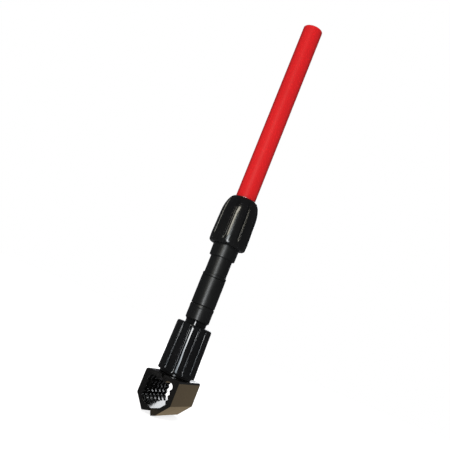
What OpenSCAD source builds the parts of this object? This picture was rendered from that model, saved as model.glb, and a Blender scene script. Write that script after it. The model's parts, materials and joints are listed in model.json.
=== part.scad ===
// Jaw clamp mop handle: the clamp head, its twist collar and socket, and the lower part of a round handle tube.
// Frame: +Z runs up the handle, the clamped cloth lies along Y, and the origin is below the jaws on the handle's axis.

/* [Handle tube] */
// Outside diameter of the handle tube
tube_d = 25.4; // [22:0.1:26]
// Wall of the handle tube
tube_wall = 2.4; // [1.6:0.1:3.2]
// Height of the tube's open top end
tube_top = 519; // [320:1:1500]

/* [Jaws] */
// Width across both closed jaws
jaw_w = 44; // [40:0.5:48]
// Length of the jaws along the clamped cloth
jaw_len = 70; // [64:1:90]
// Height of the jaws, toe to top plate
jaw_h = 46.5; // [46:0.1:48]
// Wall of a jaw between its ribs
jaw_wall = 2.4; // [1.8:0.1:2.8]
// Height at which the side walls start to taper inward
jaw_knee = 17.5; // [15:0.1:19]
// Gripping ribs inside each jaw
rib_count = 7; // [5:1:9]
// Width of one gripping rib
rib_w = 4.2; // [3:0.1:5]
// Pitch of the teeth on a rib
tooth_pitch = 6; // [5:0.1:6.4]

/* [Hinges] */
// Distance of each hinge pin from the handle's axis
pin_x = 3.9; // [3.8:0.05:4.1]
// Diameter of a hinge pin
pin_d = 3; // [2.4:0.1:3.2]

/* [Twist collar] */
// Diameter of the collar at its lower end
collar_d = 46; // [44:0.5:50]
// Diameter of the collar at its upper end
collar_top_d = 43.6; // [42:0.2:45]
// Height of the collar's upper end
collar_top = 109.4; // [105:0.1:110]
// Finger grooves round the collar
collar_grooves = 14; // [6:1:16]

/* [Socket] */
// Diameter of the smooth sleeve above the collar
sleeve_d = 29.9; // [29:0.1:31]
// Diameter of the socket's neck above the sleeve
neck_d = 27.7; // [27:0.1:28]
// Diameter of the lock ring under the barrel nut
lock_ring_d = 33.2; // [33:0.1:34]

/* [Barrel nut] */
// Greatest diameter of the barrel nut
barrel_d = 47.6; // [46:0.2:52]
// Height of the barrel nut's upper end
barrel_top = 274.6; // [274:0.1:276]
// Lobes round the barrel nut
barrel_lobes = 9; // [5:1:12]

/* [Hidden] */
$fn = 96;

tube_r = tube_d / 2;
slip = 0.05;            // clearance of a sliding or running fit
seat = 0.02;            // clearance between parts fixed to each other
coat = 0.2;             // coloured coat on the tube, left off inside the socket
bare_r = tube_r - coat;
thread_gap = 0.15;      // clearance between facing thread crests

// Heights up the handle
ring_z = jaw_h + slip;
washer_z = 49.3;
collar_z = 49.5;
collar_thread = [57.5, 81];
stem_z = 49.4;
carrier_neck_z = 90;
sleeve_z = 114.7;
sleeve_groove_z = 133.6;
band_z = 169.6;
neck_z = 173.5;
lock_z = 195.6;
tube_seat_z = 202;
barrel_z = 211;
lock_top = 214.4;
barrel_thread = [217, 233];
finger_z = 237;
cone = [246, 264];      // cone on the collet fingers
wedge = [247.5, 263];
dust_slot = [269, 271];
wiper_slot = [104, 106];
clip_slot = [86.2, 87.1];
socket_pin_z = 160;
cone_r = [16.6, 14.4];

// Radii up the handle
stem_r = 11;
stem_neck_r = 12.95;
spigot_r = 10.9;
cap_spigot_r = 13.1;
socket_pin_r = 1.5;
socket_r = 15.2;
skirt_r = lock_ring_d / 2 + 0.3;
wedge_r = 18.5;

// Direction of one groove of each nut
barrel_groove_angle = -46;
collar_groove_angle = -53;

// Hinge geometry
pin_r = pin_d / 2;
knuckle_r = 3.2;
pin_head_r = 2.2;
clip_space = 1;         // room for a pin's clip beside the hinge block
clip_t = 0.76;
pin_z = jaw_h - 4.3;
pin_end = jaw_len / 2 - 3;
block_x = 7.2;          // half width of the carrier's hinge block
block_y = 8;            // half length of the carrier's hinge block
lug_gap = 3.6;          // half of the space between the block's two lugs
block_roof_z = jaw_h - 0.5;
wire_d = 0.8;

// Jaw outline, right jaw
jaw_x = jaw_w / 2;
plate_z = jaw_h - 2.5;
plate_x = 1.5;          // inner edge of the top plate
foot = [8.8, 1.8];      // outer lower corner
toe = [3.9, 0];
notch = [1.9, 3.9];
taper = (foot - [jaw_x, jaw_knee]) / norm(foot - [jaw_x, jaw_knee]);
inward = [taper[1], -taper[0]];
rib_depth = 4.8;        // wall and rib together on the tapered wall
tooth_tip = jaw_x - 7.8;
tooth_root = jaw_x - 6;
arch_r = 5.6;

// The point inside the tapered wall at a given x
function taper_at_x(x, depth) =
  let (start = [jaw_x, jaw_knee] + inward * depth)
  start + taper * (x - start[0]) / taper[0];

function arc(centre, r, from, to, steps) =
  [for (i = [0 : steps]) let (a = from + (to - from) * i / steps) centre + r * [cos(a), sin(a)]];

// Turned solid from points of radius and height
module turned(points) {
  rotate_extrude() polygon(points);
}

module ring(inner, outer, low, high) {
  turned([[inner, low], [outer, low], [outer, high], [inner, high]]);
}

// Rubber ring with a blunt lip, filling a slot of the given two heights
module lip_seal(inner, wall, slot) {
  low = slot[0] + slip;
  high = slot[1] - slip;
  turned([
    [inner, low + 0.5], [inner + 0.5, low], [inner + wall, low],
    [inner + wall, high], [inner + 0.5, high], [inner, high - 0.5]
  ]);
}

// Thread stand-in: rings of triangular section, cut into or standing on a cylinder of radius r
module thread_rings(r, depth, span, pitch) {
  for (z = [span[0] + pitch / 2 : pitch : span[1] - pitch / 2])
    turned([[r, z - pitch * 0.4], [r + depth, z - pitch * 0.1], [r + depth, z + pitch * 0.1], [r, z + pitch * 0.4]]);
}

// Straight round groove cutter between two points of radius and height
module groove_cutter(r, low, high) {
  run = high - low;
  translate([low[0], 0, low[1]]) rotate([0, atan2(run[0], run[1]), 0])
    translate([0, 0, -0.4]) cylinder(r = r, h = norm(run) + 0.8, $fn = 32);
}

// Solid whose outline lies in X and Z, centred on y
module slab(length, y = 0) {
  translate([0, y, 0]) rotate([90, 0, 0]) linear_extrude(height = length, center = true) children();
}

module rod_y(r, from, to) {
  translate([0, from, 0]) rotate([-90, 0, 0]) cylinder(r = r, h = to - from);
}

// Handle ---------------------------------------------------------------

module handle_tube() {
  color("crimson") difference() {
    ring(tube_r - tube_wall, tube_r, tube_seat_z, tube_top);
    ring(bare_r, tube_r + 1, tube_seat_z - 1, barrel_top + 0.4);
  }
}

module tube_plug() {
  bore_r = tube_r - tube_wall - seat;
  top = tube_seat_z + 38;
  color("dimgray") turned([
    [0, tube_seat_z - 1.8], [bare_r - 0.1, tube_seat_z - 1.8], [bare_r - 0.1, tube_seat_z - seat],
    [bore_r, tube_seat_z - seat], [bore_r, top - 2], [bore_r - 1.2, top], [0, top]
  ]);
}

module dust_ring() {
  color("black") lip_seal(bare_r + slip, 1.3, dust_slot);
}

// Barrel nut and socket ------------------------------------------------

// Where the side turns into the rounded shoulder
barrel_knee = [23.1, 248];
barrel_side = [[barrel_d / 2, 221], barrel_knee];
barrel_shoulder = [barrel_knee, [21.5, 261], [16.4, 272.6]];

module barrel_body() {
  top_r = 13.2;
  rise = [barrel_knee[0] - top_r, barrel_top - barrel_knee[1]];
  turned(concat(
    [[skirt_r, barrel_z], [19.6, barrel_z]],
    arc([19.6, barrel_z + 4], 4, -75, -15, 4),
    [barrel_side[0]],
    [for (a = [0 : 9 : 90]) [top_r + rise[0] * cos(a), barrel_knee[1] + rise[1] * sin(a)]],
    [[tube_r + 0.25, barrel_top], [tube_r + 0.25, barrel_z + 8], [skirt_r, barrel_z + 6]]
  ));
}

module barrel_grooves() {
  cut_r = 2;
  lift = [cut_r - 1.15, 0];
  for (i = [0 : barrel_lobes - 1]) rotate(i * 360 / barrel_lobes + barrel_groove_angle) {
    groove_cutter(cut_r, barrel_side[0] + lift + [0, -1.5], barrel_side[1] + lift);
    for (k = [0, 1]) groove_cutter(cut_r, barrel_shoulder[k] + lift, barrel_shoulder[k + 1] + lift);
  }
}

module barrel_nut() {
  thread_r = socket_r + thread_gap;
  color("#26282a") difference() {
    barrel_body();
    barrel_grooves();
    ring(tube_r, thread_r, barrel_z + 5, barrel_thread[1] + 1);
    thread_rings(thread_r - 0.01, 0.9, barrel_thread, 2.6);
    turned([
      [tube_r, barrel_thread[1]], [thread_r, barrel_thread[1]], [wedge_r + 0.1, finger_z - 1],
      [wedge_r + 0.1, 264], [tube_r, 264]
    ]);
    ring(tube_r, 15.2, 263.5, 267.5);
    ring(tube_r, bare_r + slip + 1.35, dust_slot[0], dust_slot[1]);
  }
}

module wedge_ring() {
  fall = (cone_r[1] - cone_r[0]) / (cone[1] - cone[0]);
  low = wedge[0];
  high = wedge[1];
  color("goldenrod") difference() {
    turned([
      [cone_r[0] + fall * (low - cone[0]) + 0.12, low], [wedge_r, low], [wedge_r, high],
      [cone_r[0] + fall * (high - cone[0]) + 0.12, high]
    ]);
    translate([wedge_r - 1, -1.5, low - 1]) cube([3, 3, high - low + 2]);
    translate([-wedge_r - 2, -1.5, low - 1]) cube([3, 3, high - low + 2]);
  }
}

module grip_washer() {
  color("silver") ring(15.4, wedge_r - 0.1, wedge[1] + seat, wedge[1] + 0.9);
}

module collet_socket() {
  color("#3a3c3e") difference() {
    turned([
      [spigot_r + seat, 150], [neck_d / 2 - 0.5, 150], [neck_d / 2, 150.5], [neck_d / 2, lock_z],
      [socket_r - 0.8, lock_z], [socket_r - 0.8, lock_z + 1], [socket_r, lock_z + 1.8],
      [socket_r, barrel_thread[1] + 2.5],
      [socket_r - 0.8, finger_z - 0.5], [cone_r[0], cone[0]], [cone_r[1], cone[1]], [bare_r + 0.8, 265.5],
      [bare_r + seat, 265.5], [bare_r + seat, tube_seat_z - 1.8], [spigot_r + seat, tube_seat_z - 1.8]
    ]);
    for (z = [barrel_thread[0] + 1.3 : 2.6 : barrel_thread[1]])
      turned([[socket_r + 1, z - 1.3], [socket_r - 0.7, z - 0.2], [socket_r - 0.7, z + 0.2], [socket_r + 1, z + 1.3]]);
    for (i = [0 : 2]) rotate(i * 60 + 15) translate([-20, -0.8, finger_z + 3]) cube([40, 1.6, 40]);
    pin_hole();
  }
}

module lock_ring() {
  outer = lock_ring_d / 2;
  color("#37393b") turned([
    [socket_r - 0.8 + seat, lock_z], [outer - 0.8, lock_z], [outer - 0.4, lock_z + 0.5], [outer, lock_top - 0.6],
    [outer - 0.5, lock_top], [socket_r + seat, lock_top], [socket_r + seat, lock_z + 1.8 + seat],
    [socket_r - 0.8 + seat, lock_z + 1 + seat]
  ]);
}

module pin_hole() {
  translate([0, 0, socket_pin_z]) rotate([0, 90, 0]) cylinder(r = socket_pin_r + seat, h = 40, center = true);
}

module socket_pin() {
  color("silver") translate([0, 0, socket_pin_z]) rotate([0, 90, 0]) difference() {
    cylinder(r = socket_pin_r, h = neck_d - 0.6, center = true);
    cylinder(r = 0.8, h = neck_d, center = true);
  }
}

module neck_band() {
  outer = sleeve_d / 2;
  color("#37393b") turned([
    [neck_d / 2 + seat, band_z + 0.3], [outer - 0.5, band_z + 0.3], [outer, band_z + 0.7],
    [outer, neck_z - 0.4], [outer - 0.4, neck_z], [neck_d / 2 + seat, neck_z]
  ]);
}

module ferrule_sleeve() {
  outer = sleeve_d / 2;
  color("#37393b") turned([
    [cap_spigot_r, sleeve_groove_z + 0.3], [outer - 0.5, sleeve_groove_z + 0.3], [outer, sleeve_groove_z + 0.8],
    [outer, band_z - 0.4], [outer - 0.4, band_z], [neck_d / 2 + seat, band_z], [neck_d / 2 + seat, 149.6],
    [cap_spigot_r, 148]
  ]);
}

module shank_cap() {
  outer = sleeve_d / 2;
  color("#37393b") turned([
    [spigot_r + seat, sleeve_z + 0.2], [outer - 0.8, sleeve_z + 0.2], [outer, sleeve_z + 1], [outer, 129],
    [outer + 0.25, 130], [outer + 0.25, 131.6], [outer, 132.8], [outer, sleeve_groove_z - 0.4],
    [outer - 0.4, sleeve_groove_z], [cap_spigot_r - seat, sleeve_groove_z],
    [cap_spigot_r - seat, 146], [spigot_r + seat, 146]
  ]);
}

// Twist collar and what it drives --------------------------------------

module collar_cutters() {
  cut_r = 2.1;
  lift = [cut_r - 0.95, 0];
  for (i = [0 : collar_grooves - 1]) rotate(i * 360 / collar_grooves + collar_groove_angle)
    groove_cutter(cut_r, [collar_d / 2, collar_z + 2.4] + lift, [collar_top_d / 2, collar_top - 1.6] + lift);
}

module collar_nut() {
  thread_r = stem_r + thread_gap;
  low_r = collar_d / 2;
  top_r = collar_top_d / 2;
  color("#1c1d20") difference() {
    turned(concat(
      [[stem_neck_r + 0.35, collar_z], [low_r - 0.5, collar_z], [low_r, collar_z + 0.5]],
      arc([top_r - 2.6, collar_top - 2.6], 2.6, 0, 90, 5),
      [[stem_neck_r + 1, collar_top], [stem_neck_r + 0.35, collar_top - 0.65]]
    ));
    collar_cutters();
    ring(stem_r, 18.8, collar_z - 1, 50.15);
    ring(stem_r, 14.98, 48, collar_thread[0]);
    ring(stem_neck_r + 0.3, stem_neck_r + 1.5, wiper_slot[0], wiper_slot[1]);
  }
  color("#1c1d20") difference() {
    ring(thread_r, stem_neck_r + 0.4, collar_thread[0], collar_thread[1]);
    thread_rings(thread_r - 0.01, 0.8, collar_thread + [1, -1], 4);
  }
}

module collar_wiper() {
  color("black") lip_seal(stem_neck_r + slip, 1.4, wiper_slot);
}

module thrust_washer() {
  color("silver") ring(15.02, 18.6, washer_z + seat, 50.1);
}

module pressure_ring() {
  bore = stem_r + slip;
  color("#26282a") {
    turned([
      [bore, ring_z], [19, ring_z], [19.6, ring_z + 0.6], [19.6, washer_z], [14.9, washer_z],
      [14.9, collar_thread[0] - 0.3], [bore, collar_thread[0] - 0.3]
    ]);
    for (side = [0, 180]) rotate(side) translate([-1.4, bore - 0.9, ring_z])
      cube([2.8, 1.4, collar_thread[0] - 0.3 - ring_z]);
  }
}

module carrier_stem() {
  turned([
    [0, stem_z], [stem_r - 0.5, stem_z], [stem_r, stem_z + 0.5], [stem_r, 87.8], [stem_neck_r, carrier_neck_z],
    [stem_neck_r, sleeve_z - 1], [stem_neck_r + 0.9, sleeve_z - 0.2],
    [stem_neck_r + 0.9, sleeve_z + 0.18], [spigot_r, sleeve_z + 0.18], [spigot_r, 195], [7, 195], [7, 96], [0, 90]
  ]);
}

// One lug of the hinge block, carrying both pins
module hinge_lug() {
  lug_r = block_x - pin_x;
  length = block_y - lug_gap;
  slab(length, lug_gap + length / 2) translate([-block_x, pin_z]) square([2 * block_x, stem_z - pin_z]);
  slab(length, lug_gap + length / 2) translate([-pin_x, pin_z - lug_r]) square([2 * pin_x, lug_r + 1]);
  for (x = [-pin_x, pin_x]) translate([x, 0, pin_z]) rod_y(lug_r, lug_gap, block_y);
}

module jaw_carrier() {
  color("#1c1d20") difference() {
    union() {
      carrier_stem();
      for (side = [0, 180]) rotate(side) hinge_lug();
      translate([-block_x, -block_y, block_roof_z]) cube([2 * block_x, 2 * block_y, stem_z + 0.2 - block_roof_z]);
    }
    for (x = [-pin_x, pin_x]) translate([x, 0, pin_z]) rod_y(pin_r + seat, -20, 20);
    for (side = [0, 180]) rotate(side) translate([-1.5, stem_r - 1.1, 40]) cube([3, 3, 23]);
    for (z = [64.5 : 4 : 80])
      turned([[stem_r + 1, z - 2], [stem_r - 0.8, z - 0.3], [stem_r - 0.8, z + 0.3], [stem_r + 1, z + 2]]);
    ring(stem_r - 0.7, stem_r + 1, clip_slot[0], clip_slot[1]);
    pin_hole();
  }
}

module travel_clip() {
  color("silver") difference() {
    ring(stem_r - 0.68, stem_r + 1.4, clip_slot[0] + seat, clip_slot[1] - seat);
    translate([-2, 5, 80]) cube([4, 20, 20]);
  }
}

// Jaws and hinges ------------------------------------------------------

module jaw_shell() {
  inner_knee = taper_at_x(jaw_x - jaw_wall, jaw_wall);
  polygon(concat(
    [[plate_x, plate_z], [plate_x, jaw_h]],
    arc([jaw_x - 3, jaw_h - 3], 3, 90, 0, 6),
    [[jaw_x, jaw_knee], foot, foot + inward * jaw_wall, inner_knee],
    arc([jaw_x - jaw_wall - 2, plate_z - 2], 2, 0, 90, 4)
  ));
}

module jaw_rib() {
  crest = taper_at_x(10.6, rib_depth);
  tips = [for (k = [0 : 2]) jaw_h - 13.5 - k * tooth_pitch];
  back = jaw_x - jaw_wall / 2;
  arch_z = tips[0] + 3;
  polygon(concat(
    [[pin_x + 1.2, arch_z + arch_r]],
    arc([tooth_root - arch_r + 0.2, arch_z], arch_r, 90, 0, 6),
    [for (z = tips) each [[tooth_root, z + 2.2], [tooth_tip, z]]],
    [taper_at_x(tooth_root - 0.3, rib_depth), crest, crest - inward * (rib_depth - 0.6)],
    [[jaw_x, jaw_knee] + inward * jaw_wall / 2 + [-0.6, 0], [back, jaw_knee + 1], [back, jaw_h - 3]],
    [[jaw_x - 3, plate_z + 1.2], [pin_x + 1.2, plate_z + 1.2]]
  ));
}

// Solid lip along the lower edge, closed by its own end corners
module jaw_lip(end_corners) {
  crest = taper_at_x(10.6, rib_depth);
  polygon(concat([foot], end_corners, [crest, crest - inward * (rib_depth - 0.6)]));
}

module jaw(end_corners) {
  pitch = (jaw_len - rib_w) / (rib_count - 1);
  knuckle_y = block_y + 0.3;
  knuckles = [[-jaw_len / 2 + 0.3, -knuckle_y - clip_space], [knuckle_y, pin_end]];
  difference() {
    union() {
      slab(jaw_len) jaw_shell();
      slab(jaw_len) jaw_lip(end_corners);
      for (i = [0 : rib_count - 1]) slab(rib_w, -(jaw_len - rib_w) / 2 + i * pitch) jaw_rib();
      for (k = knuckles) translate([pin_x, 0, pin_z]) {
        rod_y(knuckle_r, k[0], k[1]);
        translate([0, k[0], 0]) cube([6, k[1] - k[0], plate_z - pin_z + 0.5]);
      }
    }
    translate([-1, -knuckle_y - clip_space, 30]) cube([block_x + 3, 2 * knuckle_y + clip_space, 30]);
    translate([pin_x, 0, pin_z]) {
      rod_y(pin_r + slip, -pin_end - 0.1, jaw_len);
      rod_y(knuckle_r - 0.6, pin_end, jaw_len);
    }
  }
}

module left_jaw() {
  color("#1f1f22") mirror([1, 0, 0]) jaw([[-0.6, 4.6], [-0.9, 7.4]]);
}

module right_jaw() {
  color("#232326") jaw([toe, notch, [1.4, 7.6]]);
}

module hinge_pins() {
  color("silver") for (x = [-pin_x, pin_x]) translate([x, 0, pin_z]) difference() {
    union() {
      rod_y(pin_r, -pin_end, pin_end + 0.1);
      rod_y(pin_head_r, pin_end + 0.1, pin_end + 1.1);
    }
    translate([0, -block_y - slip, 0]) rotate([90, 0, 0]) difference() {
      cylinder(r = pin_r + 1, h = clip_t + 2 * seat);
      cylinder(r = pin_r - 0.4, h = 3, center = true);
    }
  }
}

module pin_clips() {
  color("silver") for (x = [-pin_x, pin_x]) translate([x, 0, pin_z]) difference() {
    translate([0, -block_y - slip - seat, 0]) rotate([90, 0, 0]) difference() {
      cylinder(r = 2.3, h = clip_t);
      cylinder(r = pin_r - 0.38, h = 3, center = true);
    }
    translate([-0.7, -block_y - 2, -4]) cube([1.4, 3, 4]);
  }
}

// One torsion spring: coils round the pin, a leg up to the block, and a leg out under the jaw's top plate
module torsion_spring() {
  coil_r = 2.15;
  turns = 5;
  pitch = wire_d + 0.02;
  last_y = 2.7;
  leg_d = wire_d - 0.14;
  translate([pin_x, 0, pin_z]) {
    for (i = [0 : turns - 1]) translate([0, last_y - i * pitch, 0]) rotate([90, 0, 0])
      rotate_extrude($fn = 32) translate([coil_r, 0]) circle(d = wire_d, $fn = 16);
    translate([-coil_r - 0.05, last_y - (turns - 1) * pitch, 0])
      cylinder(d = leg_d, h = block_roof_z - 0.05 - pin_z, $fn = 16);
    translate([0, last_y, -coil_r]) rotate([0, 76, 0]) cylinder(d = leg_d, h = 10.4, $fn = 16);
  }
}

module jaw_springs() {
  color("lightsteelblue") for (side = [0, 180]) rotate(side) torsion_spring();
}

handle_tube();
tube_plug();
dust_ring();
barrel_nut();
wedge_ring();
grip_washer();
collet_socket();
lock_ring();
socket_pin();
neck_band();
ferrule_sleeve();
shank_cap();
jaw_carrier();
travel_clip();
collar_nut();
collar_wiper();
thrust_washer();
pressure_ring();
left_jaw();
right_jaw();
hinge_pins();
pin_clips();
jaw_springs();
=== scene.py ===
# Looks of the jaw clamp mop handle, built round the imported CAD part.
# Outlines, grooves and edge widths are in mm; every other length is in metres.
import json
import math

import bmesh
import bpy
from mathutils import Matrix, Vector


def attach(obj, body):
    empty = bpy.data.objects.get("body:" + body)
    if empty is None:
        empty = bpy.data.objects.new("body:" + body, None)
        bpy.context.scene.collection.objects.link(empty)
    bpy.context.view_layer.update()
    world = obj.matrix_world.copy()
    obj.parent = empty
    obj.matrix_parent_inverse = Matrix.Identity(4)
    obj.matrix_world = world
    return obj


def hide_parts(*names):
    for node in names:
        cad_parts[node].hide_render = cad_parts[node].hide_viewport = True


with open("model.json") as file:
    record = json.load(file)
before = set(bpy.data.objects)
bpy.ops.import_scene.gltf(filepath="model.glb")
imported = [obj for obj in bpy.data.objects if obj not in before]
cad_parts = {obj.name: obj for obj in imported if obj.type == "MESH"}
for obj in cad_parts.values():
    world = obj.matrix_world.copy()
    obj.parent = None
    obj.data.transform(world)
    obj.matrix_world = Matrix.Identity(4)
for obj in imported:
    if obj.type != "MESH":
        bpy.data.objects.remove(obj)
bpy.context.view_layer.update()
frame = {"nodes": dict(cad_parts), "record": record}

MM = 0.001

# Camera ---------------------------------------------------------------

CAMERA_AZIMUTH = math.radians(21)
CAMERA_DISTANCE = 0.7016
CAMERA_HEIGHT = 0.120
CAMERA_TARGET = Vector((-0.0108, -0.0042, 0.2356))
CAMERA_ROLL = math.radians(21.97)
CAMERA_LENS = 46.16
SENSOR_WIDTH = 36
NEAREST_SEEN = 0.01
NEARLY_VERTICAL = 0.999       # a direction whose z is beyond this has no use for z as its upright


def looking(place, target, roll=0.0):
    """Matrix of a camera or light at place that looks at target, turned counter-clockwise by roll."""
    ahead = (target - place).normalized()
    upright = Vector((0, 1, 0)) if abs(ahead.z) > NEARLY_VERTICAL else Vector((0, 0, 1))
    up = (upright - ahead * ahead.dot(upright)).normalized()
    right = ahead.cross(up)
    turned_up = up * math.cos(roll) - right * math.sin(roll)
    turned_right = right * math.cos(roll) + up * math.sin(roll)
    return Matrix.Translation(place) @ Matrix((turned_right, turned_up, -ahead)).transposed().to_4x4()


def add_camera():
    data = bpy.data.cameras.new("camera")
    data.lens = CAMERA_LENS
    data.sensor_width = SENSOR_WIDTH
    data.clip_start = NEAREST_SEEN
    camera = bpy.data.objects.new("camera", data)
    bpy.context.scene.collection.objects.link(camera)
    place = Vector((
        CAMERA_DISTANCE * math.sin(CAMERA_AZIMUTH),
        -CAMERA_DISTANCE * math.cos(CAMERA_AZIMUTH),
        CAMERA_HEIGHT,
    ))
    camera.matrix_world = looking(place, CAMERA_TARGET, CAMERA_ROLL)
    bpy.context.scene.camera = camera


# Materials ------------------------------------------------------------

WORN_GAIN = 2.2        # a rubbed edge's colour is the light one times this
WORN_LIFT = 0.015      # plus this
PLASTIC_IOR = 1.5

RED = (0.50, 0.0085, 0.0105)
BRIGHT_RED = (0.54, 0.0095, 0.0115)
OUTLINE_SHADE_RED = (0.16, 0.005, 0.006)       # painted shade: the coat darkened towards the tube's outline, where it is seen at a slant
RUBBED_RED = (0.45, 0.06, 0.05)
BARE_DULL = (0.42, 0.42, 0.43)
BARE_BRIGHT = (0.60, 0.60, 0.61)
COAT_FROM_R = 0.01262                   # the coat fades in between these two radii
COAT_FULL_R = 0.01266
COAT_SPECULAR = 0.15


class Graph:
    """Short names for the nodes of one material."""

    def __init__(self, name):
        self.material = bpy.data.materials.new(name)
        self.material.use_nodes = True
        self.tree = self.material.node_tree
        self.tree.nodes.clear()
        self.output = self.tree.nodes.new("ShaderNodeOutputMaterial")
        self.shader = self.tree.nodes.new("ShaderNodeBsdfPrincipled")
        self.link(self.shader.outputs["BSDF"], self.output.inputs["Surface"])
        self.place = self.tree.nodes.new("ShaderNodeTexCoord").outputs["Object"]

    def link(self, source, socket):
        self.tree.links.new(source, socket)

    def node(self, kind, **values):
        made = self.tree.nodes.new(kind)
        for name, value in values.items():
            setattr(made, name, value)
        return made

    def feed(self, socket, value):
        if isinstance(value, bpy.types.NodeSocket):
            self.link(value, socket)
        else:
            socket.default_value = value

    def noise(self, scale, detail=2.0, roughness=0.5, stretch=(1, 1, 1)):
        """Noise of about scale lumps a metre. A stretch below 1 draws the lumps out along that axis."""
        mapping = self.node("ShaderNodeMapping")
        mapping.inputs["Scale"].default_value = stretch
        self.link(self.place, mapping.inputs["Vector"])
        noise = self.node("ShaderNodeTexNoise")
        noise.inputs["Scale"].default_value = scale
        noise.inputs["Detail"].default_value = detail
        noise.inputs["Roughness"].default_value = roughness
        self.link(mapping.outputs["Vector"], noise.inputs["Vector"])
        return noise.outputs["Fac"]

    def spread(self, value, low, high, to_low, to_high):
        """value moved from the range low to high onto the range to_low to to_high."""
        made = self.node("ShaderNodeMapRange")
        for index, given in enumerate((value, low, high, to_low, to_high)):
            self.feed(made.inputs[index], given)
        return made.outputs["Result"]

    def math(self, operation, first, second=0.0):
        made = self.node("ShaderNodeMath", operation=operation)
        self.feed(made.inputs[0], first)
        self.feed(made.inputs[1], second)
        return made.outputs["Value"]

    def mix(self, factor, first, second):
        made = self.node("ShaderNodeMix", data_type="RGBA")
        self.feed(made.inputs["Factor"], factor)
        self.feed(made.inputs["A"], first if isinstance(first, bpy.types.NodeSocket) else (*first, 1))
        self.feed(made.inputs["B"], second if isinstance(second, bpy.types.NodeSocket) else (*second, 1))
        return made.outputs["Result"]

    def bump(self, height, distance, strength=1.0, under=None):
        made = self.node("ShaderNodeBump")
        made.inputs["Strength"].default_value = strength
        made.inputs["Distance"].default_value = distance
        self.link(height, made.inputs["Height"])
        if under is not None:
            self.link(under, made.inputs["Normal"])
        return made.outputs["Normal"]

    def set(self, name, value):
        self.feed(self.shader.inputs[name], value)


def worn_edges(graph, low=0.53, high=0.6):
    """1 on proud edges, 0 elsewhere, broken up by noise."""
    edge = graph.node("ShaderNodeNewGeometry").outputs["Pointiness"]
    broken = graph.spread(graph.noise(900, 4, 0.7), 0.35, 0.7, 0.0, 1.0)
    return graph.math("MULTIPLY", graph.spread(edge, low, high, 0.0, 1.0), broken)


def plastic(name, dark, light, roughness, grain, depth, wear=0.35, scuffs=0.06):
    """Moulded plastic: fine mould grain, slow flow marks, rubbed edges and faint handling scuffs."""
    graph = Graph(name)
    flow = graph.spread(graph.noise(55, 3, 0.55, (1, 1, 0.35)), 0.3, 0.7, 0.0, 1.0)
    speck = graph.spread(graph.noise(2600, 2, 0.6), 0.45, 0.75, 0.0, 0.5)
    body = graph.mix(graph.math("MAXIMUM", flow, speck), dark, light)
    edges = graph.math("MULTIPLY", worn_edges(graph), wear)
    worn = tuple(min(1.0, channel * WORN_GAIN + WORN_LIFT) for channel in light)
    graph.set("Base Color", graph.mix(edges, body, worn))
    rubbed = graph.spread(graph.noise(300, 4, 0.65, (1, 1, 0.2)), 0.4, 0.75, 0.0, scuffs)
    uneven = graph.spread(flow, 0.0, 1.0, roughness * 0.88, roughness * 1.15)
    handled = graph.math("ADD", uneven, rubbed)
    graph.set("Roughness", graph.math("ADD", handled, graph.math("MULTIPLY", edges, 0.2)))
    graph.set("IOR", PLASTIC_IOR)
    fine = graph.bump(graph.noise(grain, 3, 0.6), depth, 0.6)
    graph.set("Normal", graph.bump(graph.noise(70, 2, 0.5), 0.00002, 0.5, fine))
    return graph.material


def metal(name, colour, roughness, brushed=(1, 1, 1), scale=900, tarnish=0.25):
    """Turned, drawn or rolled metal, with tool marks along one way and a little tarnish."""
    graph = Graph(name)
    marks = graph.noise(scale, 4, 0.6, brushed)
    stain = graph.spread(graph.noise(120, 4, 0.6), 0.45, 0.75, 0.0, tarnish)
    dull = tuple(channel * 0.55 for channel in colour)
    graph.set("Base Color", graph.mix(stain, colour, dull))
    graph.set("Metallic", 1.0)
    polish = graph.spread(marks, 0.3, 0.7, roughness - 0.06, roughness + 0.1)
    graph.set("Roughness", graph.math("ADD", polish, stain))
    graph.set("Normal", graph.bump(marks, 0.00003, 0.5))
    return graph.material


def rubber(name, colour):
    """Soft rubber with a little pale dust."""
    graph = Graph(name)
    dust = graph.spread(graph.noise(1500, 4, 0.7), 0.5, 0.75, 0.0, 0.5)
    graph.set("Base Color", graph.mix(dust, colour, tuple(channel + 0.05 for channel in colour)))
    graph.set("Roughness", graph.spread(graph.noise(400, 3), 0.3, 0.7, 0.7, 0.9))
    graph.set("Normal", graph.bump(graph.noise(5000, 2), 0.00005, 0.6))
    return graph.material


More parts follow.
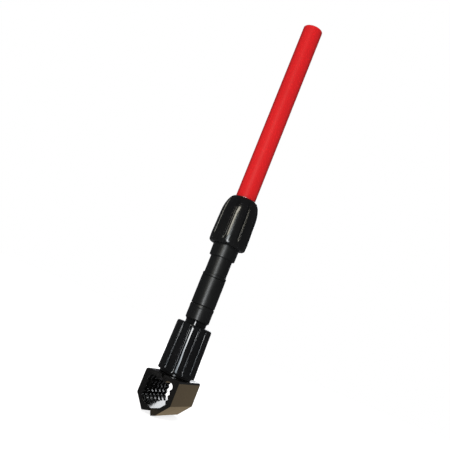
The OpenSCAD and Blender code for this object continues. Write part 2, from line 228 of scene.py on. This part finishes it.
def coated_tube(name):
    """Red stoved coat outside, with painted shade darkening it towards its outline, bare drawn metal in the
    bore, on the cut end and inside the socket.
    """
    graph = Graph(name)
    position = graph.node("ShaderNodeSeparateXYZ")
    graph.link(graph.place, position.inputs["Vector"])
    x, y = (position.outputs[axis] for axis in "XY")
    squares = graph.math("ADD", graph.math("MULTIPLY", x, x), graph.math("MULTIPLY", y, y))
    coat = graph.spread(graph.math("SQRT", squares), COAT_FROM_R, COAT_FULL_R, 0.0, 1.0)
    orange_peel = graph.noise(420, 2, 0.5)
    drift = graph.spread(graph.noise(22, 2, 0.5, (1, 1, 0.3)), 0.35, 0.65, 0.0, 1.0)
    red = graph.mix(drift, RED, BRIGHT_RED)
    # painted shade: the red darkens where the coat is seen at a slant, towards the tube's outline
    facing = graph.node("ShaderNodeLayerWeight").outputs["Facing"]
    red = graph.mix(graph.spread(facing, 0.35, 0.95, 0.0, 0.75), red, OUTLINE_SHADE_RED)
    rub = graph.math("MULTIPLY", worn_edges(graph, 0.52, 0.58), 0.5)
    red = graph.mix(rub, red, RUBBED_RED)
    drawn = graph.noise(700, 4, 0.6, (1, 1, 0.03))
    bare = graph.mix(graph.spread(drawn, 0.3, 0.7, 0.0, 1.0), BARE_DULL, BARE_BRIGHT)
    graph.set("Base Color", graph.mix(coat, bare, red))
    graph.set("Metallic", graph.math("SUBTRACT", 1.0, coat))
    scratch = graph.spread(graph.noise(260, 4, 0.65, (1, 1, 0.08)), 0.5, 0.8, 0.0, 0.08)
    satin = graph.math("ADD", graph.spread(orange_peel, 0.3, 0.7, 0.42, 0.48), scratch)
    graph.set("Specular IOR Level", COAT_SPECULAR)
    bare_rough = graph.spread(drawn, 0.3, 0.7, 0.28, 0.45)
    graph.set("Roughness", graph.spread(coat, 0.0, 1.0, bare_rough, satin))
    fine = graph.bump(graph.noise(3500, 2, 0.5), 0.00001, 0.4)
    graph.set("Normal", graph.bump(orange_peel, 0.00005, 0.5, fine))
    return graph.material


def make_materials():
    return {
        "red_tube": coated_tube("red_coat"),
        "satin_black": plastic(
            "satin_black", dark=(0.0035, 0.0037, 0.0039), light=(0.006, 0.0064, 0.0066),
            roughness=0.33, grain=3200, depth=0.00004,
        ),
        "gloss_black": plastic(
            "gloss_black", dark=(0.003, 0.0031, 0.0034), light=(0.005, 0.0052, 0.0056),
            roughness=0.03, grain=1500, depth=0.000002, scuffs=0.02,
        ),
        "barrel_black": plastic(
            "barrel_black", dark=(0.0035, 0.0036, 0.0038), light=(0.006, 0.006, 0.0062),
            roughness=0.13, grain=2600, depth=0.00001,
        ),
        "jaw_black": plastic(
            "jaw_black", dark=(0.0032, 0.0030, 0.0030), light=(0.0055, 0.0052, 0.005),
            roughness=0.12, grain=1700, depth=0.00001,
        ),
        "grey_plastic": plastic(
            "grey_plastic", dark=(0.06, 0.062, 0.065), light=(0.085, 0.088, 0.09),
            roughness=0.45, grain=3000, depth=0.00006,
        ),
        "acetal": plastic(
            "acetal", dark=(0.66, 0.65, 0.61), light=(0.74, 0.73, 0.69),
            roughness=0.32, grain=2600, depth=0.00003, wear=0.1,
        ),
        "bright_steel": metal("bright_steel", (0.62, 0.62, 0.63), roughness=0.22, brushed=(1, 0.08, 1)),
        "spring_steel": metal("spring_steel", (0.48, 0.49, 0.51), roughness=0.30, scale=2200, tarnish=0.35),
        "seal_rubber": rubber("seal_rubber", (0.012, 0.012, 0.012)),
    }


SLOTS = {
    "red_tube": ["handle_tube"],
    "satin_black": ["collet_socket", "lock_ring", "neck_band", "ferrule_sleeve", "shank_cap"],
    "gloss_black": ["jaw_carrier", "collar_nut"],
    "barrel_black": ["barrel_nut"],
    "jaw_black": ["pressure_ring", "left_jaw", "right_jaw"],
    "grey_plastic": ["tube_plug"],
    "acetal": ["wedge_ring"],
    "bright_steel": ["grip_washer", "socket_pin", "thrust_washer", "hinge_pins"],
    "spring_steel": ["travel_clip", "pin_clips", "jaw_springs"],
    "seal_rubber": ["dust_ring", "collar_wiper"],
}


def paint(obj, material):
    obj.data.materials.clear()
    obj.data.materials.append(material)


# Pieces ---------------------------------------------------------------

MOST_OF_A_SIDE = 0.48                 # a corner's rounding takes no more than this of the side beside it
EDGE_SEGMENTS = 3
FLAT_FACE_WEIGHT = 60                 # how far broad faces win over their edges in the shading
WELD_DISTANCE = 0.000002
FLAT_WITHIN = math.radians(0.4)       # neighbouring faces this close to level become one
ROUND_FROM = math.radians(32)         # edges sharper than this are rounded
GROOVE_COLUMNS = 8                    # mesh columns across half a groove
LAND_COLUMNS = 6                      # and across the plain surface between two grooves
GROOVE_FULLNESS = 0.6                 # below 1, a groove has a wide floor and steep sides
GROOVE_RISE = 2.0                     # mm over which a groove deepens at its lower end
OUTSIDE_FROM = 4                      # mm from the bore to the surface that grooves may press in
LONGEST_FACE = 2.5                    # mm along a grooved nut's outline


def body_of(node):
    return next(name for name, members in frame["record"]["behaviour"]["bodies"].items() if node in members)


def slot_of(node):
    return next(name for name, members in SLOTS.items() if node in members)


def stand_in(node, mesh):
    """Shows mesh, given in the row frame, instead of the CAD node, in the node's own finish."""
    for polygon in mesh.polygons:
        polygon.use_smooth = True
    piece = bpy.data.objects.new(node + "_shape", mesh)
    bpy.context.scene.collection.objects.link(piece)
    paint(piece, materials[slot_of(node)])
    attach(piece, body_of(node))
    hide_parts(node)
    return piece


def even_shading(piece):
    """Keeps broad faces flat to the eye beside their rounded edges."""
    made = piece.modifiers.new("even shading", "WEIGHTED_NORMAL")
    made.weight = FLAT_FACE_WEIGHT


def rounded(corners, steps=4):
    """Closed outline from corners, each given as radius, height and how far from it its rounding starts."""
    outline = []
    for index, (r, z, cut) in enumerate(corners):
        corner = Vector((r, z))
        before = Vector(corners[index - 1][:2]) - corner
        after = Vector(corners[(index + 1) % len(corners)][:2]) - corner
        cut = min(cut, MOST_OF_A_SIDE * before.length, MOST_OF_A_SIDE * after.length)
        if cut == 0:
            outline.append(corner)
            continue
        start, end = corner + before.normalized() * cut, corner + after.normalized() * cut
        for step in range(steps + 1):
            t = step / steps
            outline.append(start * (1 - t) ** 2 + corner * 2 * t * (1 - t) + end * t ** 2)
    return outline


def stepped(outline, longest):
    """The same outline with points added along its long straight stretches."""
    points = []
    for index, start in enumerate(outline):
        run = outline[(index + 1) % len(outline)] - start
        count = max(1, math.ceil(run.length / longest))
        points += [start + run * step / count for step in range(count)]
    return points


def revolved(name, outline, angles, press=None):
    """Ring mesh: a closed outline of radius and height, counter-clockwise, turned through angles in degrees.
    press(angle, point) says how many mm a point of the surface is pressed in."""
    count = len(outline)
    inward = []
    for index in range(count):
        run = outline[(index + 1) % count] - outline[index - 1]
        inward.append(Vector((-run.y, run.x)).normalized())
    verts = []
    for angle in angles:
        turn = math.radians(angle)
        for point, way in zip(outline, inward):
            r, z = point + way * press(angle, point) if press else point
            verts.append((r * math.cos(turn) * MM, r * math.sin(turn) * MM, z * MM))
    faces = []
    for a in range(len(angles)):
        b = (a + 1) % len(angles)
        for i in range(count):
            j = (i + 1) % count
            faces.append((a * count + i, b * count + i, b * count + j, a * count + j))
    mesh = bpy.data.meshes.new(name)
    mesh.from_pydata(verts, [], faces)
    return mesh


def turned(node, corners, segments=120):
    """A plain round piece with rounded corners."""
    angles = [360 * step / segments for step in range(segments)]
    even_shading(stand_in(node, revolved(node, rounded(corners), angles)))


def grooved(node, outline, count, first, half_width, depth, low, high, fade):
    """A nut with soft finger grooves from height low to high, which run out over fade at the top.
    first and half_width are in degrees."""
    pitch = 360 / count
    reach = GROOVE_COLUMNS + 2
    fine = [half_width * step / GROOVE_COLUMNS for step in range(-reach, reach + 1)]
    plain = pitch - 2 * fine[-1]
    offsets = fine + [fine[-1] + plain * step / LAND_COLUMNS for step in range(1, LAND_COLUMNS)]
    angles = [first + pitch * index + offset for index in range(count) for offset in offsets]
    inner = min(point.x for point in outline if low < point.y < high) + OUTSIDE_FROM

    def press(angle, point):
        if point.x < inner or not low < point.y < high:
            return 0.0
        away = abs((angle - first + pitch / 2) % pitch - pitch / 2) / half_width
        across = max(0.0, 1 - away * away) ** GROOVE_FULLNESS
        along = min(1.0, (point.y - low) / GROOVE_RISE, (high - point.y) / fade)
        return depth * across * math.sin(math.pi / 2 * along)

    stand_in(node, revolved(node, stepped(outline, LONGEST_FACE), angles, press))


def softened(node, width):
    """The CAD node's own shape with flat faces merged and its edges rounded by width in mm."""
    mesh = frame["nodes"][node].data.copy()
    work = bmesh.new()
    work.from_mesh(mesh)
    bmesh.ops.remove_doubles(work, verts=work.verts, dist=WELD_DISTANCE)
    bmesh.ops.dissolve_limit(
        work, angle_limit=FLAT_WITHIN, verts=work.verts, edges=work.edges, use_dissolve_boundaries=False
    )
    work.to_mesh(mesh)
    work.free()
    piece = stand_in(node, mesh)
    made = piece.modifiers.new("edges", "BEVEL")
    made.width = width * MM
    made.segments = EDGE_SEGMENTS
    made.limit_method = "ANGLE"
    made.angle_limit = ROUND_FROM
    made.use_clamp_overlap = True
    even_shading(piece)


def add_tube():
    """Coated above the barrel nut's mouth, bare below it."""
    bore_r, bare_r, coated_r = 10.3, 12.5, 12.7
    foot_z, coat_z, top_z = 202, 275, 519
    turned("handle_tube", [
        (bore_r, foot_z, 0.3), (bare_r, foot_z, 0.3), (bare_r, coat_z, 0), (coated_r, coat_z, 0.12),
        (coated_r, top_z, 0.5), (bore_r, top_z, 0.4),
    ], segments=160)


def add_barrel_nut():
    """Nine broad lobes; the shoulder is a quarter of an ellipse that ends at the tube."""
    foot, foot_round = Vector((19.6, 215)), 4
    knee, crown = Vector((23.1, 248)), Vector((13.2, 274.6))
    mouth_r, dust_slot_r, wedge_room_r, thread_r = 12.95, 13.9, 18.6, 15.35
    outline = [Vector((16.9, 211.2)), Vector((17.1, 211))]
    for degrees in range(0, 76, 5):
        turn = math.radians(degrees)
        outline.append(foot + foot_round * Vector((math.sin(turn), -math.cos(turn))))
    outline.append(Vector((23.8, 221)))
    for degrees in range(0, 91, 5):
        turn = math.radians(degrees)
        outline.append(Vector((
            crown.x + (knee.x - crown.x) * math.cos(turn), knee.y + (crown.y - knee.y) * math.sin(turn)
        )))
    outline += [Vector(point) for point in [
        (mouth_r, 274.4), (mouth_r, 271), (dust_slot_r, 271), (dust_slot_r, 269), (mouth_r, 269),
        (mouth_r, 267.5), (15.2, 267.5), (15.2, 264), (wedge_room_r, 264), (wedge_room_r, 236),
        (thread_r, 233), (thread_r, 217), (16.9, 217),
    ]]
    grooved(
        "barrel_nut", outline, count=9, first=-46, half_width=4.4, depth=1.45, low=218.5, high=273.2, fade=9
    )


def add_collar_nut():
    """A slightly tapered collar with fourteen narrow grooves."""
    foot_z, top_z = 49.5, 109.4
    mouth_r, wiper_slot_r, thread_r, press_r = 13.3, 14.45, 11.15, 15
    outline = rounded([
        (18.8, foot_z, 0.2), (23, foot_z, 0.6), (21.8, top_z, 2.6), (13.95, top_z, 0.2),
        (mouth_r, 108.75, 0.2), (mouth_r, 106, 0), (wiper_slot_r, 106, 0), (wiper_slot_r, 104, 0),
        (mouth_r, 104, 0), (mouth_r, 81, 0), (thread_r, 81, 0), (thread_r, 57.5, 0), (press_r, 57.5, 0),
        (press_r, 50.15, 0), (18.8, 50.15, 0),
    ])
    grooved(
        "collar_nut", outline, count=14, first=-53, half_width=4.6, depth=1.2, low=51.4, high=108.3, fade=3
    )


def add_sleeve():
    """The satin pieces between the two nuts."""
    sleeve_r, bead_r = 14.95, 15.2
    upper_edge_r, lower_edge_r = 14.55, 14.45
    neck_bore_r, sleeve_bore_r, cap_spigot_r, cap_bore_r = 13.87, 13.1, 13.08, 10.92
    lock_bore_r, lock_foot_r = 15.22, 14.42
    turned("lock_ring", [
        (lock_foot_r, 195.6, 0), (15.8, 195.6, 0.3), (16.2, 196.1, 0.4), (16.6, 213.8, 0.6),
        (16.1, 214.4, 0.3), (lock_bore_r, 214.4, 0), (lock_bore_r, 197.42, 0), (lock_foot_r, 196.62, 0),
    ])
    turned("neck_band", [
        (neck_bore_r, 169.9, 0), (lower_edge_r, 169.9, 0.35), (sleeve_r, 170.3, 0.4),
        (sleeve_r, 173.1, 0.45), (upper_edge_r, 173.5, 0.35), (neck_bore_r, 173.5, 0),
    ])
    turned("ferrule_sleeve", [
        (sleeve_bore_r, 133.9, 0), (lower_edge_r, 133.9, 0.35), (sleeve_r, 134.4, 0.4),
        (sleeve_r, 169.2, 0.4), (upper_edge_r, 169.6, 0.35), (neck_bore_r, 169.6, 0),
        (neck_bore_r, 149.6, 0), (sleeve_bore_r, 148, 0),
    ])
    turned("shank_cap", [
        (cap_bore_r, 114.9, 0), (14.15, 114.9, 0.5), (sleeve_r, 115.7, 0.6), (sleeve_r, 129.2, 0.6),
        (bead_r, 130.2, 0.6), (bead_r, 131.4, 0.6), (sleeve_r, 132.6, 0.5), (sleeve_r, 133.2, 0.3),
        (upper_edge_r, 133.6, 0.3), (cap_spigot_r, 133.6, 0), (cap_spigot_r, 146, 0), (cap_bore_r, 146, 0),
    ])


EDGE_WIDTHS = {        # pieces that keep the CAD's own shape, with their edges rounded
    "left_jaw": 0.55,
    "right_jaw": 0.55,
    "pressure_ring": 0.35,
    "collet_socket": 0.2,
    "jaw_carrier": 0.25,
    "wedge_ring": 0.2,
}


def add_pieces():
    add_tube()
    add_barrel_nut()
    add_collar_nut()
    add_sleeve()
    for node, width in EDGE_WIDTHS.items():
        softened(node, width)


# Light and floor ------------------------------------------------------

WINDOW_LEAN = math.radians(22)
WINDOW_WIDTH = 0.2
WINDOW_DISTANCE = 1.0
WINDOW_LEFT = 0.075           # how far left of the handle the window's centre line is, at the next height
WINDOW_LEFT_HEIGHT = 0.05
WINDOW_PANES = [              # name, lowest and highest point, radiance, colour
    ("window_low", -0.05, 0.017, 7.0, (0.80, 0.91, 1.0)),
    ("window_mid", 0.024, 0.066, 14.0, (0.88, 0.94, 1.0)),
    ("window_high", 0.073, 0.215, 20.0, (0.97, 0.99, 1.0)),
    ("window_upper", 0.235, 0.42, 9.0, (0.90, 0.97, 1.0)),
    ("window_top", 0.42, 0.87, 12.0, (1.0, 0.95, 0.80)),
]
REAR_DISTANCE = 1.2
REAR_RIGHT = 0.184604
REAR_HEIGHT = 0.645
FLOOR_HALF = 3.0
FLOOR_Z = -0.0005
SKY_ON_DULL = (0.42, 0.42, 0.42, 1)
SKY_IN_REFLECTIONS = (0.075, 0.075, 0.08, 1)
SKY_SEEN = (1.0, 1.0, 1.0, 1)


def add_light(name, place, target, size, radiance, colour, roll=0.0):
    """A soft light of the given width and height, which the camera doesn't see."""
    data = bpy.data.lights.new(name, "AREA")
    data.shape = "RECTANGLE"
    data.size, data.size_y = size
    data.energy = radiance * math.pi * size[0] * size[1]
    data.color = colour
    light = bpy.data.objects.new(name, data)
    bpy.context.scene.collection.objects.link(light)
    light.matrix_world = looking(place, target, roll)
    light.visible_camera = False
    return light


def only_on(light, node):
    """Lights only what stands for this CAD node."""
    group = bpy.data.collections.new(light.name + "_on")
    group.objects.link(bpy.data.objects[node + "_shape"])
    light.light_linking.receiver_collection = group


def add_lights():
    toward = Vector((math.sin(CAMERA_AZIMUTH), -math.cos(CAMERA_AZIMUTH), 0))
    left = Vector((-math.cos(CAMERA_AZIMUTH), -math.sin(CAMERA_AZIMUTH), 0))
    for name, low, high, radiance, colour in WINDOW_PANES:
        height = (low + high) / 2
        leftward = WINDOW_LEFT + (height - WINDOW_LEFT_HEIGHT) * math.tan(WINDOW_LEAN)
        middle = toward * WINDOW_DISTANCE + left * leftward + Vector((0, 0, height))
        size = (WINDOW_WIDTH, (high - low) / math.cos(WINDOW_LEAN))
        add_light(name, middle, middle - toward, size, radiance, colour, -WINDOW_LEAN)
    below = Vector((0.15, 0.62, 0.001))
    upward = below + Vector((0, 0, 1))
    card = add_light("warm_card", below, upward, size=(1.4, 1.4), radiance=0.33, colour=(1.0, 0.72, 0.36))
    only_on(card, "right_jaw")
    back = Vector((0, 0, REAR_HEIGHT)) - toward * REAR_DISTANCE - left * REAR_RIGHT
    handle_middle = Vector((0, 0, 0.25))
    add_light("rear_fill", back, handle_middle, size=(0.5, 0.9), radiance=3.0, colour=(0.96, 0.98, 1.0))
    behind = Vector((0.0223, 0.15, 0.0702))
    left_wall = Vector((-0.012, 0, 0.013))
    rib_light = add_light(
        "rib_light", behind, left_wall, size=(0.009, 0.044), radiance=7.0, colour=(0.94, 0.97, 1.0),
        roll=math.radians(31.7),
    )
    only_on(rib_light, "left_jaw")


def add_floor():
    """Plain and pale, with some light of its own so that it meets the sky without a line."""
    mesh = bpy.data.meshes.new("floor")
    corners = [(x * FLOOR_HALF, y * FLOOR_HALF, FLOOR_Z) for x, y in ((-1, -1), (1, -1), (1, 1), (-1, 1))]
    mesh.from_pydata(corners, [], [(0, 1, 2, 3)])
    floor = bpy.data.objects.new("floor", mesh)
    bpy.context.scene.collection.objects.link(floor)
    graph = Graph("pale_floor")
    tone = graph.spread(graph.noise(6, 3), 0.3, 0.7, 0.0, 1.0)
    graph.set("Base Color", graph.mix(tone, (0.88, 0.88, 0.88), (0.92, 0.92, 0.92)))
    graph.set("Roughness", 0.9)
    graph.set("Emission Color", (1.0, 1.0, 1.0, 1.0))
    graph.set("Emission Strength", 0.75)
    graph.set("Normal", graph.bump(graph.noise(800, 3), 0.0001, 0.2))
    paint(floor, graph.material)
    floor.visible_glossy = False


def add_world():
    """White behind the part, a grey sky on dull surfaces and a darker one in reflections."""
    world = bpy.data.worlds.new("studio")
    bpy.context.scene.world = world
    world.use_nodes = True
    tree = world.node_tree
    background = tree.nodes["Background"]
    path = tree.nodes.new("ShaderNodeLightPath")
    glossy = tree.nodes.new("ShaderNodeMix")
    glossy.data_type = "RGBA"
    glossy.inputs["A"].default_value = SKY_ON_DULL
    glossy.inputs["B"].default_value = SKY_IN_REFLECTIONS
    tree.links.new(path.outputs["Is Glossy Ray"], glossy.inputs["Factor"])
    seen = tree.nodes.new("ShaderNodeMix")
    seen.data_type = "RGBA"
    seen.inputs["B"].default_value = SKY_SEEN
    tree.links.new(glossy.outputs["Result"], seen.inputs["A"])
    tree.links.new(path.outputs["Is Camera Ray"], seen.inputs["Factor"])
    tree.links.new(seen.outputs["Result"], background.inputs["Color"])


# Scene ----------------------------------------------------------------

add_camera()
materials = make_materials()
for slot_name, members in SLOTS.items():
    for member in members:
        paint(frame["nodes"][member], materials[slot_name])
add_pieces()

add_lights()
add_floor()
add_world()
bpy.context.scene.view_settings.view_transform = "Standard"

bpy.context.view_layer.update()
